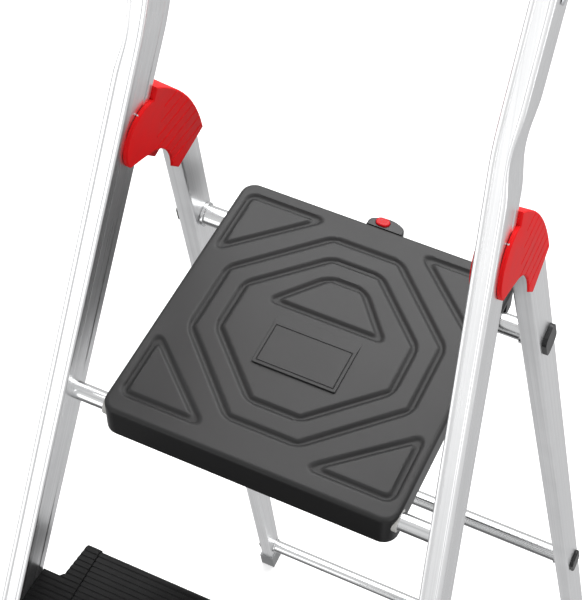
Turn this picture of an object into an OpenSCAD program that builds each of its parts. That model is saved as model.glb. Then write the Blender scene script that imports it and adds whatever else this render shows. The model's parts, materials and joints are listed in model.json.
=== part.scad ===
// Folding household steps with five treads, a moulded platform, a rear frame and a safety bow.
// Origin: floor, centre of the footprint.  +X is the climber's right, +Y the rear, +Z up.  Millimetres.

/* [Overall] */
// Height of the platform's top above the floor
platform_height = 1410; // [1100:5:1700]
// Lean of the front rails from the vertical, degrees
front_lean = 22; // [18:0.5:25]
// Lean of the rear legs from the vertical, degrees
rear_lean = 16; // [13:0.5:19]
// Sideways lean of each front rail, degrees
front_taper = 5; // [3:0.25:6]
// Sideways lean of each rear leg, degrees
rear_taper = 4.6; // [3:0.1:6]

/* [Platform] */
// Platform width
deck_width = 274; // [240:1:300]
// Platform depth, front to rear
deck_depth = 287; // [240:1:340]
// Depth of the front skirt
skirt_height = 35; // [30:1:45]
// Depth of the side skirts
side_skirt_height = 29; // [24:1:35]
// Thickness of the platform's top
deck_top = 3.5; // [3:0.1:4.5]
// Thickness of the skirts and ribs
skirt_wall = 3; // [2:0.1:4]
// Radius of the platform's upright corners
deck_corner = 14; // [6:1:24]
// Depth of the grooves pressed in the platform's top
groove_depth = 1; // [0.5:0.1:1.5]
// Width of those grooves
groove_width = 4; // [2:0.5:6]

/* [Front rails] */
// Gap from the platform's centre to a rail's inner face, at platform height
rail_in = 167.5; // [150:0.5:190]
// Width of a rail, seen from the front
rail_width = 18.5; // [15:0.5:24]
// Depth of a rail, seen from the side
rail_depth = 41.5; // [36:0.5:50]
// Wall of a rail
rail_wall = 1.6; // [1.2:0.1:2.5]
// Distance of the rails' front face ahead of the platform's front edge
rail_ahead = 5; // [0:0.5:12]
// Distance from platform height to the bend where the rails turn parallel, up the front frame
rail_bend_up = 330; // [318:1:400]
// Centre-line radius of that bend
rail_bend_radius = 400; // [150:10:500]
// Distance from platform height to the rails' upper ends, up the front frame
rail_top_up = 480; // [420:5:520]
// Width of each raised bead on the rails' front face
bead_width = 4; // [2:0.5:6]
// Height of those beads
bead_height = 0.8; // [0.4:0.1:1.5]

/* [Front tube] */
// Outer radius of the tube on which the platform turns
tube_radius = 8; // [7:0.25:9]
// Wall of that tube
tube_wall = 1.5; // [1:0.1:2.5]
// Distance of the tube's axis behind the platform's front edge
tube_back = 14.5; // [13.5:0.5:20]
// Depth of the tube's axis below the platform's top
tube_drop = 14.5; // [14.5:0.5:20]
// Wall of the plastic bushes on the tube
bush_wall = 2.4; // [1.5:0.1:3]
// Length of each bush
bush_length = 26; // [16:1:40]

/* [Rear frame] */
// Distance of the legs' front face behind the platform's front edge, at platform height
leg_back = 223; // [200:1:260]
// Width of a leg, seen from the front
leg_width = 18.5; // [15:0.5:22]
// Depth of a leg, seen from the side
leg_depth = 32; // [26:0.5:36]
// Wall of a leg
leg_wall = 1.5; // [1.2:0.1:2.5]
// Outer radius of the round crossbars
bar_radius = 10; // [8:0.25:12]
// Wall of the crossbars
bar_wall = 1.5; // [1:0.1:2.5]
// Height of the middle crossbar above the floor
middle_bar_height = 726; // [500:1:900]
// Height of the lower crossbar above the floor
lower_bar_height = 96; // [85:1:200]
// Thickness of the collars pressed in the crossbars inside the legs
collar_length = 3; // [2:0.5:5]

/* [Folding joint] */
// Distance from platform height to the pivot, up the legs
pivot_up = 150; // [140:1:158]
// Radius of the pivot pins
pin_radius = 4; // [3:0.25:5]
// Radius of the round end of a leg's hinge head
head_radius = 12; // [10:0.5:13]
// Width of the hinge head's tongue
head_width = 14.5; // [12:0.5:16]
// Thickness of a hinge plate
plate_thickness = 1.7; // [1.5:0.1:2.5]
// Thickness of the cover's cheeks and top wall
cover_wall = 1.8; // [1.6:0.1:2.5]
// Depth of the grip grooves in the covers
grip_depth = 0.7; // [0.4:0.1:1]
// Width of those grooves
grip_width = 1.4; // [1:0.1:2.5]
// Spacing of those grooves
grip_pitch = 13.4; // [10:0.2:16]
// Number of grooves in each cheek
grip_count = 7; // [4:1:8]
// Radius of the rivets in the hinge plates
plate_rivet_radius = 3; // [2:0.25:4]

/* [Safety bow] */
// Height of the bow's top above the platform
bow_height = 600; // [480:5:700]
// Width of the bow's section
bow_width = 14.7; // [12:0.1:15.2]
// Depth of the bow's section
bow_depth = 37.1; // [32:0.1:37.3]
// Wall of the bow's section
bow_wall = 1.4; // [1:0.1:2]
// Length of the bow inside each rail
bow_plug = 45; // [30:1:60]
// Centre-line radius of the bow's two corners
bow_corner = 70; // [50:1:90]

/* [Treads] */
// Depth of a tread
tread_depth = 85; // [80:1:100]
// Height of a tread's section
tread_height = 26; // [22:1:34]
// Wall of a tread
tread_wall = 1.8; // [1.2:0.1:2.5]
// Number of grip grooves along a tread
tread_grooves = 13; // [7:1:16]
// Depth of those grooves
tread_groove_depth = 0.7; // [0.4:0.1:1]
// Width of a tread's end cap, from the rail inwards
tread_cap_width = 41; // [34:1:50]
// Wall of an end cap
tread_cap_wall = 2.2; // [1.6:0.1:3]
// Length of the end cap's sleeve over the tread
tread_cap_lap = 12; // [8:1:20]
// Radius of the rivets that hold the end caps to the rails
tread_rivet_radius = 2.5; // [2:0.25:3.5]

/* [Latch] */
// Width of the latch housing
latch_width = 40; // [34:1:50]
// Reach of the latch housing behind the platform
latch_reach = 14; // [12:1:20]
// Travel of the red button
button_travel = 3; // [2:0.5:4]
// Half-width of the button's round ends
button_radius = 5; // [4:0.25:6]
// Distance between the centres of the button's round ends
button_span = 4; // [2:0.5:8]
// Radius of the button's stem
stem_radius = 2.5; // [2:0.25:3]

/* [Feet] */
// Wall of the feet
foot_wall = 2.5; // [2:0.1:4]
// Thickness of the feet under the metal
sole_thickness = 5; // [3:0.5:8]
// Height of the feet, along the rail or leg
foot_length = 58; // [40:1:80]

/* [Clearances] */
// Radial clearance of a turning fit
turn_clearance = 0.06; // [0.02:0.01:0.1]
// Gap between parts that move past each other
move_gap = 0.4; // [0.3:0.05:0.8]
// Gap between a fixed part and the part that it fits into
fit_gap = 0.2; // [0.1:0.05:0.4]

/* [Hidden] */
tread_total = 5;
step_rise = platform_height / (tread_total + 1);
big = 4000;

// Footprint: the feet's outer edges at the floor set the origin
front_edge = -rail_ahead - foot_wall / cos(front_lean) - platform_height * tan(front_lean);
rear_edge = leg_back + (leg_depth + foot_wall) / cos(rear_lean) + platform_height * tan(rear_lean);
deck_y = -(front_edge + rear_edge) / 2;

// Rails and bow, measured in the plane of the front frame
rail_mid = rail_depth / 2;
bend_steps = 5;
bow_top = (bow_height + rail_ahead * sin(front_lean)) / cos(front_lean) - bow_width / 2;
rail_axis_x = rail_in + rail_width / 2 / cos(front_taper);
bow_low = rail_top_up - bow_plug;
bend_x = rail_axis_x - rail_bend_up * tan(front_taper);
upright_x = bend_x - rail_bend_radius * (1 - cos(front_taper));
upright_t = rail_bend_up + rail_bend_radius * sin(front_taper);
bow_front = rail_wall + bead_height + (rail_depth - 2 * rail_wall - bead_height - bow_depth) / 2;
bow_section_corner = 4;
bow_rivet_t = rail_top_up - bow_plug / 2;
tube_half = rail_in + rail_width - rail_wall - 1.5;
rivet_head = 1.4;

// Pivot: on the legs' centre line, first from the platform's front edge, then from the rail's front face
pivot_y = leg_back + leg_depth / 2 * cos(rear_lean) - pivot_up * sin(rear_lean);
pivot_z = leg_depth / 2 * sin(rear_lean) + pivot_up * cos(rear_lean);
pivot_d = (pivot_y + rail_ahead) * cos(front_lean) - pivot_z * sin(front_lean);
pivot_t = (pivot_y + rail_ahead) * sin(front_lean) + pivot_z * cos(front_lean);
fold = front_lean + rear_lean;
leg_top = -16;
// the legs stand in line with the rails at the pivot
leg_in = rail_in + rail_width / 2 / cos(front_taper) - pivot_t * tan(front_taper)
    - leg_width / 2 / cos(rear_taper) + pivot_up * tan(rear_taper);
head_plug = 40;

// Joint cover: outline in the rail's side plane, d from the front face and t up the rail
cheek_lift = plate_thickness + cover_wall;
cover_back = leg_depth / 2 + 4.1;
cover_exit = 28;
cover_centre = [pivot_d - 159.4, pivot_t - 161];
cover_r = norm([cover_back * cos(fold) + cover_exit * sin(fold) + 159.4,
    cover_back * sin(fold) - cover_exit * cos(fold) + 161]);
cover_eye = [rail_depth - 1.5, pivot_t + 37];
cover_eye_r = 33;
cover_arch = [pivot_d - 71.6, pivot_t - 53.5];
cover_arch_r = 59;
grip_angle = 20;
grip_first = [pivot_d + 18, pivot_t - 7];
grip_front = 24;
plate_rivet_d = rail_mid + 8;
plate_rivet_t = [pivot_t + 22, pivot_t + 47];

// Crossbars: depth of each axis below the platform's top
seat_gap = move_gap;
upper_bar_drop = deck_top + 4 + seat_gap + bar_radius;
middle_bar_drop = platform_height - middle_bar_height;
lower_bar_drop = platform_height - lower_bar_height;
cap_size = [4.5, 24, 29];
cap_corner = 7;

// Platform
bar_space_front = bar_y(upper_bar_drop) - 46;
bar_space_rear = bar_y(upper_bar_drop) + bar_radius + 5;
bush_radius = tube_radius + bush_wall;
boss_radius = bush_radius + skirt_wall;
rib_x = [22, 68];
rib_height = 18;
rib_start = tube_back + boss_radius + 4;

// Treads
tread_nose = 5;
groove_pitch = (tread_depth - 2 * tread_nose) / tread_grooves;
cap_skin = 1.5;
cap_end = 3;
cap_notch_in = 19;
cap_back_in = 26.6;
tread_rivet_d = [15, 32];
tread_set_back = 1;

// Latch
latch_inner_width = 32;
latch_inner = 21;
latch_corner = 6;
latch_top = 1;
latch_deep = 25;
button_y = deck_depth + latch_reach / 2 - 0.5;
button_proud = 1.8;
button_thick = 4;
pocket_depth = button_thick - button_proud + button_travel;
catch_thick = 3;
catch_width = 20;
catch_top = -latch_deep - 3;
spring_wire = 0.5;
spring_turns = 5;
spring_radius = stem_radius + 1.1;
spring_seat = 4;

function bar_up(drop) = (-drop - leg_depth / 2 * sin(rear_lean)) / cos(rear_lean);
function bar_y(drop) = leg_back + leg_depth / 2 * cos(rear_lean) - bar_up(drop) * sin(rear_lean);
function leg_x(up, side) = leg_in + side / cos(rear_taper) - up * tan(rear_taper);
function rail_front_y(z) = -rail_ahead + z * tan(front_lean);
function rail_t(z, d) = (z + d * sin(front_lean)) / cos(front_lean);
function tread_z(i) = step_rise * i - platform_height;
function tread_y(i) = rail_front_y(tread_z(i)) + tread_set_back;
function tread_in(i) = rail_in - rail_t(tread_z(i), 0) * tan(front_taper);
function spot(w, s) = [pivot_d + w * cos(fold) + s * sin(fold),
    pivot_t + w * sin(fold) - s * cos(fold)];
// a grip groove starts behind the smooth front of the cheek
function grip_length(k) = (grip_first.x - k * grip_pitch * sin(grip_angle) - rail_depth - grip_front)
    / cos(grip_angle);

// Frames of reference
module at_deck() translate([0, deck_y, platform_height]) children();
module sides(right) {
    if (right) children();
    else mirror([1, 0, 0]) children();
}
module front_plane() at_deck() translate([0, -rail_ahead, 0]) rotate([-front_lean, 0, 0]) children();
module rail_frame() front_plane() translate([rail_in, 0, 0]) rotate([0, -front_taper, 0]) children();
module leg_frame() at_deck() translate([leg_in, leg_back, 0]) rotate([rear_lean, 0, 0])
    rotate([0, -rear_taper, 0]) children();
module at_pivot() at_deck() translate([0, pivot_y, pivot_z]) children();
module along_x(r, x0, x1) translate([x0, 0, 0]) rotate([0, 90, 0]) cylinder(r = r, h = x1 - x0, $fn = 48);

// Flat outlines
module rounded(size, r) {
    translate([r, 0]) square([size.x - 2 * r, size.y]);
    translate([0, r]) square([size.x, size.y - 2 * r]);
    for (x = [r, size.x - r], y = [r, size.y - r]) translate([x, y]) circle(r = r, $fn = 32);
}
module stadium(r, span) {
    for (s = [-1, 1]) translate([s * span / 2, 0]) circle(r = r, $fn = 32);
    translate([-span / 2, -r]) square([span, 2 * r]);
}

// Front rails: bent strips in the front frame's plane, with a thickness in depth
module rail_outline() difference() {
    square([rail_width, rail_depth]);
    translate([bead_width, -1]) square([rail_width - 2 * bead_width, 1 + bead_height]);
}
function strip_side(x) = let (r = rail_bend_radius - x, foot = 2 * platform_height) concat(
    [[bend_x + foot * sin(front_taper) + x * cos(front_taper),
        rail_bend_up - foot * cos(front_taper) + x * sin(front_taper)]],
    [for (a = [front_taper:-front_taper / bend_steps:0])
        [upright_x + rail_bend_radius - r * cos(a), upright_t - r * sin(a)]]);
module rail_strip(d0, d1, inset, extra) front_plane() translate([0, d1, 0]) rotate([90, 0, 0])
    linear_extrude(d1 - d0) {
        x = rail_width / 2 - inset;
        right = strip_side(x);
        left = strip_side(-x);
        polygon(concat(right, [[upright_x + x, rail_top_up + extra], [upright_x - x, rail_top_up + extra]],
            [for (k = [len(left) - 1:-1:0]) left[k]]));
    }
module rail_length() translate([0, 0, -2 * platform_height])
    linear_extrude(2 * platform_height) children();
module over_floor(z) intersection() {
    children();
    translate([-big / 2, -big / 2, z]) cube(big);
}
module rail() difference() {
    over_floor(sole_thickness) difference() {
        rail_strip(0, rail_depth, 0, 0);
        rail_strip(-1, bead_height, bead_width, 1);
        rail_strip(rail_wall + bead_height, rail_depth - rail_wall, rail_wall, 1);
    }
    at_deck() translate([0, tube_back, -tube_drop]) along_x(tube_radius, 0, rail_in + rail_width / 2);
    plate_rivet_holes();
    tread_rivet_holes();
    bow_rivet_holes();
}

module rail_right() color("silver") rail();
module rail_left() color("silver") mirror([1, 0, 0]) rail();
module front_tube() color("silver") at_deck() translate([0, tube_back, -tube_drop]) difference() {
    along_x(tube_radius, -tube_half, tube_half);
    along_x(tube_radius - tube_wall, -tube_half - 1, tube_half + 1);
}

// Rivets lie across the rail
module rivet_shaft(r, d, t, x0, x1) translate([0, d, t / cos(front_taper)]) along_x(r, x0, x1);
module rivet(r, d, t, x0, x1) {
    rivet_shaft(r, d, t, x0, x1);
    rivet_shaft(2 * r, d, t, x0 - rivet_head, x0);
    rivet_shaft(2 * r, d, t, x1, x1 + rivet_head);
}
module rail_top() front_plane() translate([upright_x - rail_width / 2, 0, 0]) children();
module bow_rivet_holes() rail_top()
    rivet_shaft(tread_rivet_radius, rail_mid, bow_rivet_t, -1, rail_width + 1);
module plate_rivet_holes() rail_frame() for (t = plate_rivet_t)
    rivet_shaft(plate_rivet_radius, plate_rivet_d, t, -plate_thickness, rail_width + plate_thickness);
module tread_rivet_holes() rail_frame() for (i = [1:tread_total], d = tread_rivet_d)
    rivet_shaft(tread_rivet_radius, d, rail_t(tread_z(i) - tread_height / 2, d), -cap_end - 1, rail_width + 1);
module bow_rivets() color("gray") for (right = [true, false]) sides(right) rail_top()
    rivet(tread_rivet_radius, rail_mid, bow_rivet_t, 0, rail_width);
module plate_rivets() color("gray") for (right = [true, false]) sides(right) plate_rivet_holes();
module tread_rivets() color("gray") for (right = [true, false]) sides(right) rail_frame()
    for (i = [1:tread_total], d = tread_rivet_d)
        rivet(tread_rivet_radius, d, rail_t(tread_z(i) - tread_height / 2, d), -cap_end, rail_width);

// Safety bow: one bent tube that plugs into both rails
module bow_section(inset) translate([-bow_width / 2 + inset, bow_front + inset])
    rounded([bow_width - 2 * inset, bow_depth - 2 * inset], bow_section_corner - inset);
module frame_turn(radius, start, angle) mirror([0, 1, 0]) rotate([90, 0, 0]) rotate([0, 0, start])
    rotate_extrude(angle = angle, $fn = 96) translate([radius, 0]) children();
module bow_side(inset, extra) {
    translate([upright_x, 0, bow_low - extra])
        linear_extrude(bow_top - bow_corner - bow_low + extra) bow_section(inset);
    translate([upright_x - bow_corner, 0, bow_top - bow_corner])
        frame_turn(bow_corner, 0, 90) bow_section(inset);
}
module bow_solid(inset, extra) {
    span = upright_x - bow_corner;
    for (right = [true, false]) sides(right) bow_side(inset, extra);
    translate([-span, 0, bow_top]) rotate([0, 90, 0]) linear_extrude(2 * span) bow_section(inset);
}
module safety_bow() color("silver") difference() {
    front_plane() difference() {
        bow_solid(0, 0);
        bow_solid(bow_wall, 1);
    }
    for (right = [true, false]) sides(right) bow_rivet_holes();
}

// Platform
function octagon(side, front, rear, cut, inset) = let (
    x = deck_width / 2 - side - inset, y0 = front + inset, y1 = deck_depth - rear - inset,
    c = cut - inset * (2 - sqrt(2)))
    [[x, y0 + c], [x, y1 - c], [x - c, y1], [c - x, y1],
        [-x, y1 - c], [-x, y0 + c], [c - x, y0], [x - c, y0]];
module ring(side, front, rear, cut) difference() {
    polygon(octagon(side, front, rear, cut, 0));
    polygon(octagon(side, front, rear, cut, groove_width));
}
module corner_mark(across, along) difference() {
    polygon([[0, 0], [across, 0], [0, along]]);
    translate([groove_width, groove_width])
        polygon([[0, 0], [across - 3.4 * groove_width, 0], [0, along - 3.4 * groove_width]]);
}
module deck_grooves() {
    ring(32, 38, 33, 71);
    ring(53, 61, 55, 58);
    for (flip = [0, 1]) mirror([flip, 0]) {
        translate([-deck_width / 2 + 12, 21]) corner_mark(74, 67);
        translate([-deck_width / 2 + 12, deck_depth - 18]) mirror([0, 1]) corner_mark(71, 69);
    }
    difference() {
        polygon([[-54, 167], [54, 167], [16, 210], [-16, 210]]);
        polygon([[-44, 171], [44, 171], [14, 206], [-14, 206]]);
    }
    translate([-40, 97]) difference() {
        square([80, 48]);
        translate([3, 3]) square([74, 42]);
    }
}
module deck_block(inset, top, bottom) translate([-deck_width / 2 + inset, inset, bottom])
    linear_extrude(top - bottom)
    rounded([deck_width - 2 * inset, deck_depth - 2 * inset], deck_corner - inset);
module slab(x, y0, y1, z0, z1) translate([-x, y0, z0]) cube([2 * x, y1 - y0, z1 - z0]);
module deck_shell() color("dimgray") at_deck() difference() {
    union() {
        difference() {
            deck_block(0, 0, -skirt_height);
            deck_block(skirt_wall, -deck_top, -skirt_height - 1);
        }
        intersection() {
            deck_block(0, 0, -skirt_height);
            union() {
                for (flip = [0, 1]) mirror([flip, 0, 0]) {
                    translate([0, tube_back, -tube_drop])
                        along_x(boss_radius, deck_width / 2 - bush_length - 2, deck_width / 2);
                    for (x = rib_x)
                        translate([x - skirt_wall / 2, rib_start, -deck_top - rib_height])
                            cube([skirt_wall, deck_depth - rib_start - 1, rib_height + 1]);
                }
            }
        }
    }
    // side skirts are shallower than the front one
    slab(deck_width, deck_corner + 12, deck_depth + 1, -skirt_height - 1, -side_skirt_height);
    // way out for the crossbar, and its seat
    slab(deck_width, bar_space_front, bar_space_rear, -skirt_height - 1,
        -upper_bar_drop + bar_radius + seat_gap);
    // tube bore
    translate([0, tube_back, -tube_drop]) {
        for (flip = [0, 1]) mirror([flip, 0, 0])
            along_x(bush_radius, deck_width / 2 - bush_length, deck_width / 2 + 1);
        along_x(tube_radius + 1, -deck_width / 2, deck_width / 2);
    }
    // opening for the latch housing
    slab(latch_inner_width / 2, deck_depth - latch_inner, deck_depth + 1, -skirt_height - 1, -deck_top);
    translate([0, 0, -groove_depth]) linear_extrude(groove_depth + 1) deck_grooves();
}
module deck_bush() at_deck() translate([0, tube_back, -tube_drop]) difference() {
    along_x(bush_radius, deck_width / 2 - bush_length, deck_width / 2);
    along_x(tube_radius + turn_clearance, deck_width / 2 - bush_length - 1, deck_width / 2 + 1);
}
module deck_bush_right() color("white") deck_bush();
module deck_bush_left() color("white") mirror([1, 0, 0]) deck_bush();

// Latch at the platform's rear edge
module button_plan(grow) translate([0, button_y]) stadium(button_radius + grow, button_span);
module latch_housing() color("black") at_deck() difference() {
    union() {
        translate([0, 0, -latch_deep]) linear_extrude(latch_deep - latch_top) {
            translate([-latch_width / 2, deck_depth]) square([latch_width, latch_reach - latch_corner]);
            translate([-latch_width / 2 + latch_corner, deck_depth])
                square([latch_width - 2 * latch_corner, latch_reach]);
            for (s = [-1, 1]) translate([s * (latch_width / 2 - latch_corner),
                deck_depth + latch_reach - latch_corner]) circle(r = latch_corner, $fn = 48);
        }
        slab(latch_inner_width / 2, deck_depth - latch_inner, deck_depth, -latch_deep, -deck_top);
    }
    translate([0, 0, -latch_top - pocket_depth]) linear_extrude(pocket_depth + 1) button_plan(move_gap);
    translate([0, button_y, -latch_deep + spring_seat])
        cylinder(r = spring_radius + spring_wire + move_gap, h = latch_deep - spring_seat, $fn = 48);
    translate([0, button_y, -latch_deep - 1]) cylinder(r = stem_radius + move_gap, h = latch_deep, $fn = 48);
}
module latch_button() color("red") at_deck() {
    translate([0, 0, button_proud - latch_top - button_thick]) linear_extrude(button_thick) button_plan(0);
    translate([0, button_y, catch_top]) cylinder(r = stem_radius,
        h = button_proud - latch_top - button_thick - catch_top, $fn = 48);
}
module latch_catch() color("gray") at_deck() translate([-catch_width / 2, 0, 0]) rotate([90, 0, 90]) {
    y = bar_y(upper_bar_drop);
    hook = y + bar_radius + 6;
    bottom = catch_top - catch_thick;
    linear_extrude(catch_width) polygon([[y + 7, catch_top], [hook - 3, catch_top + 5.5],
        [hook, catch_top + 5.5], [hook, catch_top], [button_y + 5, catch_top],
        [button_y + 5, bottom], [y + 7, bottom]]);
}
module latch_spring() color("silver") at_deck() translate([0, button_y, -latch_deep + spring_seat])
    linear_extrude(height = latch_deep - spring_seat - latch_top - button_thick + button_proud,
        twist = -360 * spring_turns, slices = spring_turns * 16)
    translate([spring_radius, 0]) circle(r = spring_wire, $fn = 8);

// Rear frame
module leg_tube_outline() difference() {
    rounded([leg_width, leg_depth], 2);
    translate([leg_wall, leg_wall]) square([leg_width - 2 * leg_wall, leg_depth - 2 * leg_wall]);
}
module leg_length(top) translate([0, 0, -2 * platform_height])
    linear_extrude(2 * platform_height + top) children();
module bar_axis(drop) at_deck() translate([0, bar_y(drop), -drop]) children();
module leg() difference() {
    over_floor(sole_thickness) leg_frame() leg_length(pivot_up + leg_top) leg_tube_outline();
    for (drop = [upper_bar_drop, middle_bar_drop, lower_bar_drop])
        bar_axis(drop) along_x(bar_radius, 0, big / 4);
}
module leg_right() color("silver") leg();
module leg_left() color("silver") mirror([1, 0, 0]) leg();
module leg_head() difference() {
    leg_frame() {
        translate([leg_wall, leg_wall, pivot_up + leg_top - head_plug])
            cube([leg_width - 2 * leg_wall, leg_depth - 2 * leg_wall, head_plug]);
        translate([(leg_width - head_width) / 2, leg_depth / 2, pivot_up]) {
            along_x(head_radius, 0, head_width);
            translate([0, -head_radius, leg_top]) cube([head_width, 2 * head_radius, -leg_top]);
        }
    }
    at_pivot() along_x(pin_radius + turn_clearance, 0, big / 4);
}
module leg_head_right() color("dimgray") leg_head();
module leg_head_left() color("dimgray") mirror([1, 0, 0]) leg_head();
module pivot_pin() color("gray") intersection() {
    at_pivot() along_x(pin_radius, 0, big / 4);
    rail_frame() translate([-plate_thickness, -big / 2, -big / 2])
        cube([rail_width + 2 * plate_thickness, big, big]);
}
module pivot_pin_right() pivot_pin();
module pivot_pin_left() mirror([1, 0, 0]) pivot_pin();

module crossbar(drop) color("silver") bar_axis(drop) {
    half = leg_x(bar_up(drop), leg_width) - 1.2;
    inner = leg_x(bar_up(drop), 0) - 1.2;
    difference() {
        union() {
            along_x(bar_radius, -half, half);
            for (flip = [0, 1]) mirror([flip, 0, 0])
                along_x(bar_radius + 2, inner - collar_length, inner);
        }
        along_x(bar_radius - bar_wall, -half - 1, half + 1);
    }
}
module upper_crossbar() crossbar(upper_bar_drop);
module middle_crossbar() crossbar(middle_bar_drop);
module lower_crossbar() crossbar(lower_bar_drop);
module crossbar_cap(drop) color("black") {
    leg_frame() translate([leg_width, leg_depth / 2 - cap_size.y / 2, bar_up(drop) - cap_size.z / 2])
        rotate([90, 0, 90]) linear_extrude(cap_size.x) rounded([cap_size.y, cap_size.z], cap_corner);
    difference() {
        bar_axis(drop) along_x(bar_radius - bar_wall - fit_gap, leg_x(bar_up(drop), leg_width) - 16,
            leg_x(bar_up(drop), leg_width) + 2);
        leg_frame() translate([leg_width + cap_size.x / 2, -big / 2, -big / 2]) cube(big);
    }
}
module upper_cap_right() crossbar_cap(upper_bar_drop);
module upper_cap_left() mirror([1, 0, 0]) crossbar_cap(upper_bar_drop);
module middle_cap_right() crossbar_cap(middle_bar_drop);
module middle_cap_left() mirror([1, 0, 0]) crossbar_cap(middle_bar_drop);
module lower_cap_right() crossbar_cap(lower_bar_drop);
module lower_cap_left() mirror([1, 0, 0]) crossbar_cap(lower_bar_drop);

// Hinge plates and covers, drawn in the rail's side plane
module side_plane(x0, x1) translate([x0, 0, 0]) rotate([90, 0, 90]) linear_extrude(x1 - x0) children();
module plate_outline(grow) {
    d0 = plate_rivet_d - 8 - grow;
    t0 = plate_rivet_t[0] - 9 - grow;
    t1 = plate_rivet_t[1] + 9 + grow;
    r = head_radius + 1 + grow;
    polygon([[d0, t0], [rail_depth, t0], [pivot_d, pivot_t - r], [pivot_d + 3, pivot_t + r],
        [rail_depth + 4, t1], [d0, t1]]);
    translate([pivot_d, pivot_t]) circle(r = r, $fn = 64);
}
module hinge_plate(x) color("gray") difference() {
    rail_frame() side_plane(x, x + plate_thickness) plate_outline(0);
    plate_rivet_holes();
    at_pivot() along_x(pin_radius, 0, big / 4);
}
module hinge_plate_right_inner() hinge_plate(-plate_thickness);
module hinge_plate_right_outer() hinge_plate(rail_width);
module hinge_plate_left_inner() mirror([1, 0, 0]) hinge_plate(-plate_thickness);
module hinge_plate_left_outer() mirror([1, 0, 0]) hinge_plate(rail_width);
module cheek_outline() difference() {
    low = pivot_t + 7.5;
    union() {
        intersection() {
            translate(cover_eye) circle(r = cover_eye_r, $fn = 96);
            translate([0, low]) square([cover_eye.x + 12, 120]);
        }
        intersection() {
            translate(cover_centre) circle(r = cover_r, $fn = 360);
            polygon([[rail_depth, low], [rail_depth, low + 200], spot(120, -100),
                spot(cover_back + 30, cover_exit), spot(-24, cover_exit),
                [pivot_d - 18, pivot_t - 29], [pivot_d - 79, low + 2]]);
        }
    }
    translate(cover_arch) circle(r = cover_arch_r, $fn = 96);
}
module cover_room() intersection() {
    translate(cover_centre) circle(r = cover_r - cover_wall, $fn = 360);
    translate([rail_depth, 0]) square([400, 600]);
}
module grip_grooves() for (k = [0:grip_count - 1])
    translate(grip_first + k * grip_pitch * [-sin(grip_angle), cos(grip_angle)]) rotate(grip_angle)
        translate([-grip_length(k), -grip_width / 2]) square([grip_length(k) + 60, grip_width]);
module joint_cover() rail_frame() difference() {
    side_plane(-cheek_lift, rail_width + cheek_lift) cheek_outline();
    side_plane(-plate_thickness, rail_width + plate_thickness) cover_room();
    side_plane(-plate_thickness, rail_width + plate_thickness) plate_outline(fit_gap);
    translate([0, -1, 0]) cube([rail_width, rail_depth + 1, 2 * platform_height]);
    for (x = [-cheek_lift - 1, rail_width + cheek_lift - grip_depth])
        side_plane(x, x + 1 + grip_depth) grip_grooves();
}
module joint_cover_right() color("red") joint_cover();
module joint_cover_left() color("red") mirror([1, 0, 0]) joint_cover();

// Treads
module along_tread(i, x0, x1) at_deck() translate([x0, tread_y(i), tread_z(i)])
    rotate([90, 0, 90]) linear_extrude(x1 - x0) children();
module tread_outline(grow) difference() {
    translate([-grow, -tread_height - grow])
        rounded([tread_depth + 2 * grow, tread_height + 2 * grow], tread_nose + grow);
    for (k = [0:tread_grooves - 1])
        translate([tread_nose + (k + 0.3) * groove_pitch, grow - tread_groove_depth])
            square([groove_pitch * 0.4, 2 * tread_groove_depth]);
}
module tread_cells() {
    cell = (tread_depth - 2 * tread_nose - 2 * tread_wall) / 3;
    for (k = [0:2]) translate([tread_nose + k * (cell + tread_wall), tread_wall - tread_height])
        square([cell, tread_height - 2 * tread_wall - tread_groove_depth]);
}
module tread(i) color("black") {
    half = tread_in(i) - tread_cap_width + tread_cap_lap;
    along_tread(i, -half, half) difference() {
        tread_outline(0);
        tread_cells();
    }
}
module cap_notch(i, g) {
    x = tread_in(i);
    y = rail_front_y(tread_z(i)) + rail_depth / cos(front_lean);
    y1 = tread_y(i) + tread_depth + 20;
    at_deck() translate([0, 0, tread_z(i) - 80]) linear_extrude(120) polygon([
        [x + 60, y - g], [x - cap_notch_in - g, y - g], [x - cap_notch_in - 3.5 - g, y + 4 - g],
        [x - cap_back_in - g, y + 41], [x - cap_back_in - g, y1], [x + 60, y1]]);
}
module tread_cap(i) color("black") {
    start = tread_in(i) - tread_cap_width;
    difference() {
        along_tread(i, start, start + 90) tread_outline(cap_skin);
        along_tread(i, start - 1, start + tread_cap_lap)
            translate([0, -tread_height]) rounded([tread_depth, tread_height], tread_nose);
        difference() {
            along_tread(i, start + tread_cap_lap - 1, start + 90)
                translate([tread_cap_wall, tread_cap_wall - tread_height])
                square([tread_depth - 2 * tread_cap_wall, tread_height - 2 * tread_cap_wall]);
            rail_frame() translate([-cap_end, -big / 2, -big / 2]) cube(big);
            cap_notch(i, tread_cap_wall);
        }
        rail_frame() translate([0, -big / 2, -big / 2]) cube(big);
        cap_notch(i, 0);
        tread_rivet_holes();
    }
}
module tread_1() tread(1);
module tread_2() tread(2);
module tread_3() tread(3);
module tread_4() tread(4);
module tread_5() tread(5);
module tread_1_cap_right() tread_cap(1);
module tread_2_cap_right() tread_cap(2);
module tread_3_cap_right() tread_cap(3);
module tread_4_cap_right() tread_cap(4);
module tread_5_cap_right() tread_cap(5);
module tread_1_cap_left() mirror([1, 0, 0]) tread_cap(1);
module tread_2_cap_left() mirror([1, 0, 0]) tread_cap(2);
module tread_3_cap_left() mirror([1, 0, 0]) tread_cap(3);
module tread_4_cap_left() mirror([1, 0, 0]) tread_cap(4);
module tread_5_cap_left() mirror([1, 0, 0]) tread_cap(5);

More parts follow.
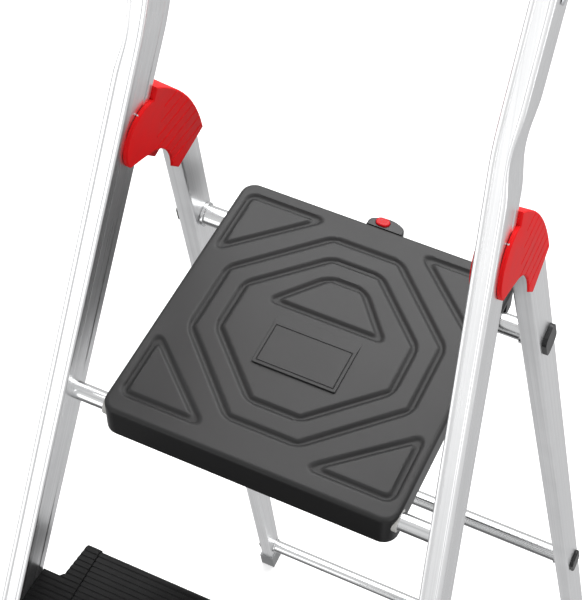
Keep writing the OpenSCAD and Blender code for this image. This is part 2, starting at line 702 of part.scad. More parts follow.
// Feet: shoes over the ends of the rails and legs
module shoe(width, depth) difference() {
    translate([-foot_wall, -foot_wall, -2 * platform_height])
        cube([width + 2 * foot_wall, depth + 2 * foot_wall, 2 * platform_height]);
    translate([0, 0, -2 * platform_height]) linear_extrude(2 * platform_height + 1) children();
}
module below(z) intersection() {
    children();
    translate([-big / 2, -big / 2, 0]) cube([big, big, z]);
}
module front_foot() color("black") below(foot_length) {
    rail_frame() shoe(rail_width, rail_depth) rail_outline();
    below(sole_thickness) rail_frame() rail_length() translate([-foot_wall, -foot_wall])
        square([rail_width + 2 * foot_wall, rail_depth + 2 * foot_wall]);
}
module front_foot_right() front_foot();
module front_foot_left() mirror([1, 0, 0]) front_foot();
module rear_foot() color("gray") below(foot_length) {
    leg_frame() shoe(leg_width, leg_depth) rounded([leg_width, leg_depth], 2);
    below(sole_thickness) leg_frame() leg_length(0) translate([-foot_wall, -foot_wall])
        square([leg_width + 2 * foot_wall, leg_depth + 2 * foot_wall]);
}
module rear_foot_right() rear_foot();
module rear_foot_left() mirror([1, 0, 0]) rear_foot();

rail_left();
rail_right();
safety_bow();
bow_rivets();
front_tube();
deck_shell();
deck_bush_left();
deck_bush_right();
latch_housing();
latch_button();
latch_catch();
latch_spring();
joint_cover_left();
joint_cover_right();
hinge_plate_left_inner();
hinge_plate_left_outer();
hinge_plate_right_inner();
hinge_plate_right_outer();
plate_rivets();
pivot_pin_left();
pivot_pin_right();
leg_left();
leg_right();
leg_head_left();
leg_head_right();
upper_crossbar();
middle_crossbar();
lower_crossbar();
upper_cap_left();
upper_cap_right();
middle_cap_left();
middle_cap_right();
lower_cap_left();
lower_cap_right();
tread_1();
tread_2();
tread_3();
tread_4();
tread_5();
tread_1_cap_left();
tread_1_cap_right();
tread_2_cap_left();
tread_2_cap_right();
tread_3_cap_left();
tread_3_cap_right();
tread_4_cap_left();
tread_4_cap_right();
tread_5_cap_left();
tread_5_cap_right();
tread_rivets();
front_foot_left();
front_foot_right();
rear_foot_left();
rear_foot_right();
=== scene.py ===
"""Household steps: the studio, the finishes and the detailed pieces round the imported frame."""

import json
import math

import bmesh
import bpy
from bmesh.types import BMFace, BMVert
from mathutils import Matrix, Vector

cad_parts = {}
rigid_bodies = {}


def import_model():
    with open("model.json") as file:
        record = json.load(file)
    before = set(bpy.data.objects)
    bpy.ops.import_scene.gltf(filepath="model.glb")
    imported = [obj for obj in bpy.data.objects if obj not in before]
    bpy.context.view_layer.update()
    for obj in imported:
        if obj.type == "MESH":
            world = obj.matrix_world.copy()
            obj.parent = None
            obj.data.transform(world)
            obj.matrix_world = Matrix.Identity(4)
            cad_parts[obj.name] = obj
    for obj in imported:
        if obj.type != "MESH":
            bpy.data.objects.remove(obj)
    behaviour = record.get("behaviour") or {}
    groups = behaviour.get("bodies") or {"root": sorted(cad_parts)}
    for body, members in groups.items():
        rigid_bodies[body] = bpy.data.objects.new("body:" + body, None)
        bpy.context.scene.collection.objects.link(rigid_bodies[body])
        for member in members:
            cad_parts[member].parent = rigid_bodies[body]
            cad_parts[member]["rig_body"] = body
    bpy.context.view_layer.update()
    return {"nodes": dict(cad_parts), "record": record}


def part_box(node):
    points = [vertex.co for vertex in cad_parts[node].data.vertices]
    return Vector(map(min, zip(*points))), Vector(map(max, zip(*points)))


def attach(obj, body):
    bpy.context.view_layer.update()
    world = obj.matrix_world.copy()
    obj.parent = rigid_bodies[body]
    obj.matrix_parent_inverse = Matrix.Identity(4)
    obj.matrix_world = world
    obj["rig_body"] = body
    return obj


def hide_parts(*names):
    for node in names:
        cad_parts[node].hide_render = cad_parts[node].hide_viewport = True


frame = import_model()
nodes = frame["nodes"]
MM = 0.001


# --- Where things are, in metres ---------------------------------------------------------------
deck_low, deck_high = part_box("deck_shell")
PLATFORM_Z = deck_high.z
PLATFORM_FRONT = deck_low.y
RAIL_LEAN, RAIL_TAPER = math.radians(22), math.radians(5)
LEG_LEAN, LEG_TAPER = math.radians(16), math.radians(4.6)
RAIL_WIDTH, RAIL_DEPTH = 18.5 * MM, 41.5 * MM
RAIL_INSIDE, RAIL_AHEAD = 167.5 * MM, 5 * MM

deck_place = Matrix.Translation((0, PLATFORM_FRONT, PLATFORM_Z))
rail_place = (deck_place @ Matrix.Translation((RAIL_INSIDE, -RAIL_AHEAD, 0))
              @ Matrix.Rotation(-RAIL_LEAN, 4, "X") @ Matrix.Rotation(-RAIL_TAPER, 4, "Y"))
left_hand = Matrix.Scale(-1, 4, (1, 0, 0))


# --- Shader helpers ----------------------------------------------------------------------------
def add_node(tree, kind, x=0, y=0, **settings):
    made = tree.nodes.new(kind)
    made.location = (x, y)
    for key, value in settings.items():
        if key in made.bl_rna.properties:
            setattr(made, key, value)
        else:
            made.inputs[key.replace("_", " ")].default_value = value
    return made


def start_group(name, inputs, outputs):
    """A shader group with named sockets: each is (name, type, default)."""
    tree = bpy.data.node_groups.new(name, "ShaderNodeTree")
    for socket, kind, default in inputs:
        made = tree.interface.new_socket(name=socket, in_out="INPUT", socket_type="NodeSocket" + kind)
        if default is not None:
            made.default_value = default
    for socket, kind in outputs:
        tree.interface.new_socket(name=socket, in_out="OUTPUT", socket_type="NodeSocket" + kind)
    return tree, add_node(tree, "NodeGroupInput", -900), add_node(tree, "NodeGroupOutput", 700)


def place_group(tree, group, x=0, y=0, **values):
    made = add_node(tree, "ShaderNodeGroup", x, y, node_tree=group)
    for key, value in values.items():
        made.inputs[key.replace("_", " ")].default_value = value
    return made


def maths(tree, operation, first, second=None, x=0, y=0):
    made = add_node(tree, "ShaderNodeMath", x, y, operation=operation)
    for slot, value in enumerate((first, second)):
        if isinstance(value, (int, float)):
            made.inputs[slot].default_value = value
        elif value is not None:
            tree.links.new(value, made.inputs[slot])
    return made.outputs[0]


# Lines that drawing leaves along a metal section: long streaks in colour, roughness and height
def make_drawn_lines():
    tree, start, end = start_group("drawn lines", [
        ("Position", "Vector", None), ("Lean", "Vector", (0, 0, 0)), ("Width", "Float", 0.0012),
        ("Length", "Float", 0.4)], [("Streaks", "Float"), ("Cloud", "Float")])
    split = add_node(tree, "ShaderNodeSeparateXYZ", -700)
    tree.links.new(start.outputs["Position"], split.inputs[0])
    fold = add_node(tree, "ShaderNodeCombineXYZ", -500)
    tree.links.new(maths(tree, "ABSOLUTE", split.outputs["X"], x=-600), fold.inputs["X"])
    tree.links.new(split.outputs["Y"], fold.inputs["Y"])
    tree.links.new(split.outputs["Z"], fold.inputs["Z"])
    turn = add_node(tree, "ShaderNodeVectorRotate", -350, rotation_type="EULER_XYZ")
    tree.links.new(fold.outputs[0], turn.inputs["Vector"])
    tree.links.new(start.outputs["Lean"], turn.inputs["Rotation"])
    across = maths(tree, "DIVIDE", 1.0, start.outputs["Width"], -500, -200)
    along = maths(tree, "DIVIDE", 1.0, start.outputs["Length"], -500, -350)
    stretch = add_node(tree, "ShaderNodeCombineXYZ", -350, -250)
    for axis, value in (("X", across), ("Y", across), ("Z", along)):
        tree.links.new(value, stretch.inputs[axis])
    scaled = add_node(tree, "ShaderNodeVectorMath", -150, operation="MULTIPLY")
    tree.links.new(turn.outputs[0], scaled.inputs[0])
    tree.links.new(stretch.outputs[0], scaled.inputs[1])
    streaks = add_node(tree, "ShaderNodeTexNoise", 50, 0, Scale=1.0, Detail=3.0, Roughness=0.6)
    tree.links.new(scaled.outputs[0], streaks.inputs["Vector"])
    cloud = add_node(tree, "ShaderNodeTexNoise", 50, -250, Scale=14.0, Detail=4.0, Roughness=0.55)
    tree.links.new(start.outputs["Position"], cloud.inputs["Vector"])
    tree.links.new(streaks.outputs[0], end.inputs["Streaks"])
    tree.links.new(cloud.outputs[0], end.inputs["Cloud"])
    return tree


# Fine spark-eroded grain of moulded plastic, with slow patches where hands and shoes have polished it
def make_moulded_grain():
    tree, start, end = start_group("moulded grain", [
        ("Position", "Vector", None), ("Grain", "Float", 0.0009), ("Patch", "Float", 0.05)],
        [("Grain", "Float"), ("Patch", "Float")])
    for name, detail, rough, y in (("Grain", 2.0, 0.5, 0), ("Patch", 4.0, 0.6, -250)):
        scale = maths(tree, "DIVIDE", 1.0, start.outputs[name], -500, y)
        made = add_node(tree, "ShaderNodeTexNoise", -100, y, Detail=detail, Roughness=rough)
        tree.links.new(start.outputs["Position"], made.inputs["Vector"])
        tree.links.new(scale, made.inputs["Scale"])
        tree.links.new(made.outputs[0], end.inputs[name])
    return tree


# A mask along edges and creases, where the softened normal leaves the true one: most plastics take it as
# bright rubbed wear, the red covers as painted shade in their grip grooves and along their rims
def make_edge_wear_and_shade():
    tree, start, end = start_group("edge wear and shade", [
        ("Radius", "Float", 0.0012), ("Breakup", "Float", 0.5)], [("Edge", "Float")])
    soft = add_node(tree, "ShaderNodeBevel", -500, samples=4)
    tree.links.new(start.outputs["Radius"], soft.inputs["Radius"])
    hard = add_node(tree, "ShaderNodeNewGeometry", -500, -200)
    dot = add_node(tree, "ShaderNodeVectorMath", -300, operation="DOT_PRODUCT")
    tree.links.new(soft.outputs[0], dot.inputs[0])
    tree.links.new(hard.outputs["Normal"], dot.inputs[1])
    gap = maths(tree, "SUBTRACT", 1.0, dot.outputs["Value"], -100)
    wide = maths(tree, "MULTIPLY", gap, 6.0, 50)
    broken = maths(tree, "MULTIPLY", wide, start.outputs["Breakup"], 200)
    limit = add_node(tree, "ShaderNodeClamp", 400)
    tree.links.new(broken, limit.inputs[0])
    tree.links.new(limit.outputs[0], end.inputs["Edge"])
    return tree


DRAWN_LINES = make_drawn_lines()
MOULDED_GRAIN = make_moulded_grain()
EDGE_WEAR_AND_SHADE = make_edge_wear_and_shade()


def start_material(name):
    material = bpy.data.materials.new(name)
    material.use_nodes = True
    tree = material.node_tree
    tree.nodes.clear()
    out = add_node(tree, "ShaderNodeOutputMaterial", 900)
    skin = add_node(tree, "ShaderNodeBsdfPrincipled", 600)
    tree.links.new(skin.outputs[0], out.inputs[0])
    place = add_node(tree, "ShaderNodeTexCoord", -900)
    return material, tree, skin, place.outputs["Object"]


def mix_colour(tree, factor, first, second, x=0, y=0):
    made = add_node(tree, "ShaderNodeMix", x, y, data_type="RGBA")
    tree.links.new(factor, made.inputs[0])
    made.inputs[6].default_value = (*first, 1)
    if isinstance(second, tuple):
        made.inputs[7].default_value = (*second, 1)
    else:
        tree.links.new(second, made.inputs[7])
    return made.outputs[2]


def value_range(tree, value, low, high, x=0, y=0, start=0.3, end=0.7):
    made = add_node(tree, "ShaderNodeMapRange", x, y)
    tree.links.new(value, made.inputs[0])
    for slot, number in ((1, start), (2, end), (3, low), (4, high)):
        made.inputs[slot].default_value = number
    return made.outputs[0]


def raise_surface(tree, skin, height, distance, strength=1.0, radius=0.0):
    bump = add_node(tree, "ShaderNodeBump", 380, -350, Strength=strength, Distance=distance)
    tree.links.new(height, bump.inputs["Height"])
    if radius:
        soft = add_node(tree, "ShaderNodeBevel", 150, -500, samples=6, Radius=radius)
        tree.links.new(soft.outputs[0], bump.inputs["Normal"])
    tree.links.new(bump.outputs[0], skin.inputs["Normal"])


def drawn_aluminium(name, bright, dull, rough, lean=(0, 0, 0), width=0.0014, length=0.5, radius=0.0008):
    material, tree, skin, position = start_material(name)
    lines = place_group(tree, DRAWN_LINES, -650, 0, Lean=lean, Width=width, Length=length)
    tree.links.new(position, lines.inputs["Position"])
    both = maths(tree, "ADD", maths(tree, "MULTIPLY", lines.outputs["Streaks"], 0.7, -450),
                 maths(tree, "MULTIPLY", lines.outputs["Cloud"], 0.3, -450, -200), -250)
    shade = value_range(tree, both, 0.0, 1.0, -100, start=0.38, end=0.62)
    tree.links.new(mix_colour(tree, shade, dull, bright, 100, 150), skin.inputs["Base Color"])
    tree.links.new(value_range(tree, both, rough + 0.07, rough - 0.05, 100, -100, 0.35, 0.65),
                   skin.inputs["Roughness"])
    skin.inputs["Metallic"].default_value = 1.0
    raise_surface(tree, skin, lines.outputs["Streaks"], 0.00002, 0.5, radius)
    return material


def moulded_plastic(name, colour, edges_and_patches, rough, grain=0.0009, depth=0.00003, radius=0.0, coat=0.0, rub=0.3,
                    shine=0.5):
    material, tree, skin, position = start_material(name)
    made = place_group(tree, MOULDED_GRAIN, -650, 0, Grain=grain, Patch=0.06)
    tree.links.new(position, made.inputs["Position"])
    patch = value_range(tree, made.outputs["Patch"], 0.0, 1.0, -350, 100)
    edge = place_group(tree, EDGE_WEAR_AND_SHADE, -350, -150, Radius=max(radius, 0.001), Breakup=rub)
    handled = maths(tree, "MULTIPLY", patch, 0.35, -150, 100)
    # Handled patches and the edge mask take the second colour: real wear on most plastics, painted shade in
    # the grooves and on the rims of the red covers
    wear_and_groove_shade_mask = maths(tree, "MAXIMUM", handled, edge.outputs[0], 0, 100)
    tree.links.new(mix_colour(tree, wear_and_groove_shade_mask, colour, edges_and_patches, 200, 150), skin.inputs["Base Color"])
    tree.links.new(value_range(tree, made.outputs["Patch"], rough + 0.06, rough - 0.05, 200, -100),
                   skin.inputs["Roughness"])
    skin.inputs["Coat Weight"].default_value = coat
    skin.inputs["Specular IOR Level"].default_value = shine
    skin.inputs["Coat Roughness"].default_value = 0.25
    raise_surface(tree, skin, made.outputs["Grain"], depth, 1.0, radius)
    return material


def platform_plastic():
    """Grained on the top face and smoother on the skirts. The colour is partly painted light: darker on the
    skirts and everything below them, as painted shade on faces turned from the lamps, with the greyer top
    standing in for the sheen of its grain; darker still, as painted shade, in the channels and over the
    rounded rim.
    """
    material, tree, skin, position = start_material("platform plastic")
    made = place_group(tree, MOULDED_GRAIN, -650, 0, Grain=0.0011, Patch=0.06)
    tree.links.new(position, made.inputs["Position"])
    edge = place_group(tree, EDGE_WEAR_AND_SHADE, -650, -250, Radius=0.0015, Breakup=0.4)
    split = add_node(tree, "ShaderNodeSeparateXYZ", -650, 250)
    tree.links.new(position, split.inputs[0])
    height = split.outputs["Z"]
    # face is 1 on the top and 0 on the skirts: it sets the real change of gloss and the skirts' painted shade
    face = value_range(tree, height, 0.0, 1.0, -450, 250, PLATFORM_Z - 5.5 * MM, PLATFORM_Z - 3.5 * MM)
    # flat is 0 in the channels and down the rounded rim, where it lays painted shade
    flat = value_range(tree, height, 0.0, 1.0, -450, 450, PLATFORM_Z - 2.4 * MM, PLATFORM_Z - 0.3 * MM)
    patch = value_range(tree, made.outputs["Patch"], 0.0, 1.0, -450, 0)
    edges_and_patches = maths(tree, "MAXIMUM", maths(tree, "MULTIPLY", patch, 0.5, -250), edge.outputs[0], -100)
    # The grained top's colour: handled patches and rubbed edges lighten it as wear; its greyer tone against
    # the skirts is painted sheen
    top = mix_colour(tree, edges_and_patches, (0.026, 0.026, 0.0265), (0.036, 0.036, 0.0365), 50, 0)
    # Painted shade in the channels and over the rounded rim
    top_with_painted_channel_shade = mix_colour(tree, flat, (0.014, 0.014, 0.0143), top, 200, 150)
    # Painted shade: the skirts and everything more than 5.5 mm below the top take the darkest colour
    tree.links.new(mix_colour(tree, face, (0.009, 0.009, 0.0093), top_with_painted_channel_shade, 350, 250), skin.inputs["Base Color"])
    even = value_range(tree, face, 0.30, 0.44, 100, -150, 0, 1)
    uneven = maths(tree, "MULTIPLY", patch, 0.06, 100, -250)
    tree.links.new(maths(tree, "ADD", even, uneven, 300, -150), skin.inputs["Roughness"])
    skin.inputs["Specular IOR Level"].default_value = 0.27
    raise_surface(tree, skin, made.outputs["Grain"], 0.00005)
    return material


def plated_steel(name, colour, rough):
    material, tree, skin, position = start_material(name)
    made = place_group(tree, MOULDED_GRAIN, -650, 0, Grain=0.0006, Patch=0.01)
    tree.links.new(position, made.inputs["Position"])
    shade = value_range(tree, made.outputs["Patch"], 0.0, 1.0, -300)
    dull = tuple(0.72 * c for c in colour)
    tree.links.new(mix_colour(tree, shade, dull, colour, 0, 150), skin.inputs["Base Color"])
    tree.links.new(value_range(tree, made.outputs["Patch"], rough + 0.1, rough - 0.06, 0, -100),
                   skin.inputs["Roughness"])
    skin.inputs["Metallic"].default_value = 1.0
    raise_surface(tree, skin, made.outputs["Grain"], 0.00001, 0.6, 0.0004)
    return material


FINISHES = {
    "rail_aluminium": drawn_aluminium("rail aluminium", (0.90, 0.905, 0.91), (0.78, 0.785, 0.79), 0.30,
                                      (RAIL_LEAN, RAIL_TAPER, 0)),
    "bow_aluminium": drawn_aluminium("bow aluminium", (0.90, 0.905, 0.91), (0.80, 0.805, 0.81), 0.27,
                                     (RAIL_LEAN, 0, 0)),
    "leg_aluminium": drawn_aluminium("leg aluminium", (0.95, 0.955, 0.96), (0.84, 0.845, 0.85), 0.33,
                                     (-LEG_LEAN, LEG_TAPER, 0)),
    "tube_aluminium": drawn_aluminium("tube aluminium", (0.68, 0.685, 0.69), (0.54, 0.545, 0.55), 0.17,
                                      (0, math.pi / 2, 0), length=0.3),
    "head_plastic": moulded_plastic("hinge head nylon", (0.10, 0.10, 0.105), (0.14, 0.14, 0.145), 0.45),
    "zinc_steel": plated_steel("zinc plated steel", (0.72, 0.73, 0.75), 0.3),
    "deck_plastic": platform_plastic(),
    "bush_plastic": moulded_plastic("bush acetal", (0.72, 0.71, 0.68), (0.8, 0.79, 0.76), 0.4),
    "latch_plastic": moulded_plastic("latch plastic", (0.028, 0.028, 0.029), (0.045, 0.045, 0.046), 0.42,
                                     shine=0.3),
    "button_plastic": moulded_plastic("button plastic", (0.60, 0.006, 0.012), (0.40, 0.005, 0.007), 0.25,
                                      depth=0.00001, shine=0.12),
    "spring_steel": plated_steel("spring steel", (0.6, 0.61, 0.63), 0.32),
    # The covers' second colour is dark red: the edge mask lays it as painted shade into the grip grooves and
    # along the rims, and the handled patches take a little of it as wear
    "cover_plastic": moulded_plastic("cover plastic", (0.85, 0.011, 0.013), (0.30, 0.004, 0.005), 0.45,
                                     depth=0.00002, rub=0.45, shine=0.06),
    "tread_black": moulded_plastic("tread coating", (0.006, 0.006, 0.0062), (0.020, 0.020, 0.021), 0.45,
                                   radius=0.0005, rub=0.35, shine=0.12),
    "tread_cap_plastic": moulded_plastic("tread cap plastic", (0.006, 0.006, 0.0062), (0.016, 0.016, 0.0165),
                                         0.5, radius=0.0007, rub=0.3, shine=0.12),
    "cap_plastic": moulded_plastic("bar cap plastic", (0.008, 0.008, 0.0085), (0.02, 0.02, 0.021), 0.35,
                                   shine=0.3),
    "foot_rubber": moulded_plastic("foot rubber", (0.030, 0.030, 0.031), (0.06, 0.06, 0.06), 0.7,
                                   depth=0.0001, radius=0.0012),
    "rear_foot_plastic": moulded_plastic("rear foot plastic", (0.30, 0.305, 0.31), (0.38, 0.385, 0.39), 0.5,
                                         radius=0.0012),
}
slots = {part["node"]: part["material_slot"] for part in frame["record"]["subparts"]}
for node, body in nodes.items():
    body.data.materials.clear()
    body.data.materials.append(FINISHES[slots[node]])


# --- Making pieces -----------------------------------------------------------------------------
def new_object(name, bm, place=None):
    """Turns a bmesh into an object whose place is in its mesh, with its faces outwards."""
    if place is not None:
        bmesh.ops.transform(bm, matrix=place, verts=bm.verts)
    bmesh.ops.recalc_face_normals(bm, faces=bm.faces)
    mesh = bpy.data.meshes.new(name)
    bm.to_mesh(mesh)
    bm.free()
    made = bpy.data.objects.new(name, mesh)
    bpy.context.scene.collection.objects.link(made)
    return made


def carve(piece, cutters):
    """Cuts the cutters' shapes out of a piece, and leaves plain mesh."""
    for cutter in cutters:
        cut = piece.modifiers.new("cut", "BOOLEAN")
        cut.operation, cut.solver, cut.object = "DIFFERENCE", "EXACT", cutter
    settle(piece)
    for cutter in cutters:
        bpy.data.objects.remove(cutter)


def settle(piece):
    bpy.context.view_layer.update()
    depsgraph = bpy.context.evaluated_depsgraph_get()
    mesh = bpy.data.meshes.new_from_object(piece.evaluated_get(depsgraph))
    piece.modifiers.clear()
    piece.data = mesh


def hang(piece, body, slot, *stands_for, smooth=32):
    """Gives a finished piece its finish and its body, and hides the CAD nodes it stands for."""
    piece.data.materials.clear()
    piece.data.materials.append(FINISHES[slot])
    piece.data.shade_smooth()
    piece.data.set_sharp_from_angle(angle=math.radians(smooth))
    flats = piece.modifiers.new("flats", "WEIGHTED_NORMAL")
    flats.keep_sharp = True
    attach(piece, body)
    if stands_for:
        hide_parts(*stands_for)
    return piece


def only(kind, geom):
    """The vertices, or the faces, among what a bmesh operator made."""
    return [item for item in geom if isinstance(item, kind)]


def whole(bm):
    return bm.verts[:] + bm.edges[:] + bm.faces[:]


def block(bm, low, high):
    """Adds a plain box between two corners, and returns its vertices."""
    low, high = Vector(low), Vector(high)
    made = bmesh.ops.create_cube(bm, size=1)["verts"]
    bmesh.ops.transform(bm, verts=made, matrix=Matrix.Translation((low + high) / 2) @ Matrix.Diagonal(
        (*(high - low), 1)))
    return made


def round_edges(bm, edges, radius, segments=4, affect="EDGES"):
    return bmesh.ops.bevel(bm, geom=edges, offset=radius, segments=segments, profile=0.5, affect=affect,
                           material=-1, clamp_overlap=True)


def swing(bm, vert, centre, angle, steps):
    """Draws an arc on from a vertex, and returns its last vertex."""
    made = bmesh.ops.spin(bm, geom=[vert], cent=(*centre, 0), axis=(0, 0, 1), angle=angle, steps=steps,
                          use_merge=False, use_duplicate=False)
    return only(BMVert, made["geom_last"])[0]


def softened(node, slot, width, segments=3, angle=50):
    """A copy of a CAD node with its corners really rounded."""
    bm = bmesh.new()
    bm.from_mesh(nodes[node].data)
    bmesh.ops.remove_doubles(bm, verts=bm.verts, dist=0.000004)
    bmesh.ops.dissolve_limit(bm, angle_limit=math.radians(1.0), use_dissolve_boundaries=False,
                             verts=bm.verts, edges=bm.edges, delimit={"NORMAL"})
    corners = [e for e in bm.edges if len(e.link_faces) == 2 and e.calc_face_angle(0) > math.radians(angle)]
    round_edges(bm, corners, width, segments)
    return hang(new_object(node + "_rounded", bm), nodes[node]["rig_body"], slot, node)


# --- Platform ------------------------------------------------------------------------------------
def edge_distance(point, corners, radius):
    """How far a point lies outside a convex outline with rounded corners, negative inside."""
    beyond, inside = 0.0, -1.0
    for a, b in zip(corners, corners[1:] + corners[:1]):
        along = (b - a).normalized()
        gap = (point - a).dot(Vector((along.y, -along.x))) + radius
        inside = max(inside, gap)
        beyond += max(gap, 0.0) ** 2
    return (math.sqrt(beyond) if inside > 0 else inside) - radius


def octagon(half, front, rear, cut):
    outline = [(half, front + cut), (half, rear - cut), (half - cut, rear), (cut - half, rear),
               (-half, rear - cut), (-half, front + cut), (cut - half, front), (half - cut, front)]
    return [Vector(corner) * MM for corner in outline]


def pressed_outlines():
    """The outlines pressed in the platform, each with its corner radius: octagons, heel and corner marks."""
    outlines = [(octagon(105, 37, 255, 72), 3 * MM), (octagon(83, 61, 232, 59), 3 * MM),
                ([Vector(c) * MM for c in ((53, 167), (17, 211), (-17, 211), (-53, 167))], 6 * MM)]
    for side in (1, -1):
        for y, tip, flip in ((21, 87, 1), (271, 201, -1)):
            mark = [Vector(c) * MM for c in ((side * 125, y), (side * 125, tip), (side * 52, y))]
            outlines.append((mark if side * flip > 0 else mark[::-1], 7 * MM))
    return outlines


RELIEF_HALF, RELIEF_FRONT, RELIEF_REAR = 130.5 * MM, 14 * MM, 276 * MM
RELIEF_LAP = 0.5 * MM


def platform_relief():
    """The platform's top: soft channels along the pressed outlines, on a fine grid."""
    bm = bmesh.new()
    width, length = 2 * (RELIEF_HALF + RELIEF_LAP), RELIEF_REAR - RELIEF_FRONT + 2 * RELIEF_LAP
    middle = Matrix.Translation((0, (RELIEF_FRONT + RELIEF_REAR) / 2, 0))
    bmesh.ops.create_grid(bm, x_segments=184, y_segments=184, size=0.5,
                          matrix=middle @ Matrix.Diagonal((width, length, 1, 1)))
    outlines = pressed_outlines()
    reach, floor, depth = 4.4 * MM, 1.3 * MM, 2.3 * MM
    for vert in bm.verts:
        spot = vert.co.xy
        near = min(abs(edge_distance(spot, outline, radius)) for outline, radius in outlines)
        if near < reach:
            slope = max(near - floor, 0) / (reach - floor)
            vert.co.z -= depth * (0.5 + 0.5 * math.cos(math.pi * slope))
        vert.co.z -= 0.02 * MM
    return bm


def make_platform_shell():
    """The hollow moulding: rounded corners, shorter skirts behind, a slot for the crossbar and a bore."""
    size = deck_high - deck_low
    skirt_step, skirt_rise = 26, 6
    slot_front, slot_rear, slot_top = 198.8, 259.8, 7.5
    bore_place, bore_radius = (0, 14.5 * MM, -14.5 * MM), 10.4 * MM
    bm = bmesh.new()
    block(bm, (-size.x / 2, 0, -size.z), (size.x / 2, size.y, 0))
    round_edges(bm, [e for e in bm.edges if abs(e.verts[0].co.z - e.verts[1].co.z) > 0.01], 14 * MM, 8)
    round_edges(bm, [e for e in bm.edges if min(v.co.z for v in e.verts) > -1e-5], 4.2 * MM, 5)
    bmesh.ops.delete(bm, geom=[f for f in bm.faces if f.normal.z < -0.9], context="FACES")
    for y in (skirt_step, skirt_step + 1):
        bmesh.ops.bisect_plane(bm, geom=whole(bm), plane_co=(0, y * MM, 0), plane_no=(0, 1, 0))
    for vert in bm.verts:
        if vert.co.z < -size.z + 1e-5 and vert.co.y > (skirt_step + 0.5) * MM:
            vert.co.z += skirt_rise * MM
    shell = new_object("platform_shell", bm)
    wall = shell.modifiers.new("wall", "SOLIDIFY")
    wall.thickness, wall.offset = 3 * MM, -1
    settle(shell)
    cuts = bmesh.new()
    block(cuts, (-0.2, slot_front * MM, -0.06), (0.2, slot_rear * MM, -slot_top * MM))
    bush = bmesh.new()
    across = Matrix.Translation(bore_place) @ Matrix.Rotation(math.pi / 2, 4, "Y")
    bmesh.ops.create_cone(bush, cap_ends=True, segments=48, radius1=bore_radius, radius2=bore_radius,
                          depth=0.4, matrix=across)
    carve(shell, [new_object("slot", cuts), new_object("bore", bush)])
    return shell


def make_platform():
    """The shell with its flat top replaced by the pressed relief, and four ribs below it."""
    shell = make_platform_shell()
    bm = bmesh.new()
    bm.from_mesh(shell.data)
    bpy.data.objects.remove(shell)
    top = [f for f in bm.faces if f.normal.z > 0.99 and f.calc_center_median().z > -1e-4]
    geom = top + [e for f in top for e in f.edges] + [v for f in top for v in f.verts]
    for place, normal in (((RELIEF_HALF, 0, 0), (1, 0, 0)), ((-RELIEF_HALF, 0, 0), (1, 0, 0)),
                          ((0, RELIEF_FRONT, 0), (0, 1, 0)), ((0, RELIEF_REAR, 0), (0, 1, 0))):
        geom = bmesh.ops.bisect_plane(bm, geom=list(set(geom)), plane_co=place, plane_no=normal)["geom"]
    middle = []
    for face in bm.faces:
        spot = face.calc_center_median()
        if (face.normal.z > 0.99 and spot.z > -1e-4 and abs(spot.x) < RELIEF_HALF
                and RELIEF_FRONT < spot.y < RELIEF_REAR):
            middle.append(face)
    bmesh.ops.delete(bm, geom=middle, context="FACES")
    relief = bpy.data.meshes.new("relief")
    grid = platform_relief()
    grid.to_mesh(relief)
    grid.free()
    bm.from_mesh(relief)
    for x in (-68, -22, 22, 68):
        for y0, y1, drop in ((32, 198.8, 21.5), (198.8, 259.8, 7.4), (259.8, 284.5, 21.5)):
            block(bm, ((x - 1.5) * MM, y0 * MM, -drop * MM), ((x + 1.5) * MM, y1 * MM, -2.6 * MM))
    mesh = bpy.data.meshes.new("platform_pressed")
    bmesh.ops.transform(bm, matrix=deck_place, verts=bm.verts)
    bm.to_mesh(mesh)
    bm.free()
    piece = bpy.data.objects.new("platform_pressed", mesh)
    bpy.context.scene.collection.objects.link(piece)
    hang(piece, "platform", "deck_plastic", "deck_shell", smooth=40)


def make_blank_plate():
    """A raised plate with nothing on it: crisp front and sides, a slow slope at the rear."""
    bm = bmesh.new()
    block(bm, (-40 * MM, 97 * MM, -1.5 * MM), (40 * MM, 156 * MM, 1.7 * MM))
    bmesh.ops.bisect_plane(bm, geom=whole(bm), plane_co=(0, 145 * MM, 0), plane_no=(0, 1, 0))
    for vert in bm.verts:
        if vert.co.z > 0 and vert.co.y > 150 * MM:
            vert.co.z = -0.1 * MM
    bm.normal_update()
    face = max((f for f in bm.faces if f.normal.z > 0.99), key=lambda f: f.calc_area())
    for thickness, drop in ((2.6, 0), (0.7, -0.6), (0.7, 0.6)):
        bmesh.ops.inset_region(bm, faces=[face], thickness=thickness * MM, depth=0, use_even_offset=True)
        if drop:
            bmesh.ops.translate(bm, verts=face.verts, vec=(0, 0, drop * MM))
    corners = [e for e in bm.edges if abs(e.verts[0].co.z - e.verts[1].co.z) > 2 * MM
               and max(v.co.y for v in e.verts) < 98 * MM]
    round_edges(bm, corners, 2 * MM, 4)
    edge = [e for e in bm.edges if min(v.co.z for v in e.verts) > 1.6 * MM and e.calc_face_angle(0) > 1]
    round_edges(bm, edge, 0.5 * MM, 3)
    hang(new_object("platform_blank_plate", bm, deck_place), "platform", "deck_plastic")


# --- Joint covers ----------------------------------------------------------------------------------
PIVOT = Vector((131.656, 213.463))
FOLD = math.radians(38)
COVER_BACK = Vector((-27.744, 52.463))
ROOM_RADIUS = 243.03
ROOM_EDGE = 71.2
CHEEK_IN, CHEEK_OUT = -3.5, 22
side_plane = Matrix(((0, 0, 1, 0), (1, 0, 0, 0), (0, 1, 0, 0), (0, 0, 0, 1)))


def round_from(centre, point):
    return math.atan2(point[1] - centre[1], point[0] - centre[0])


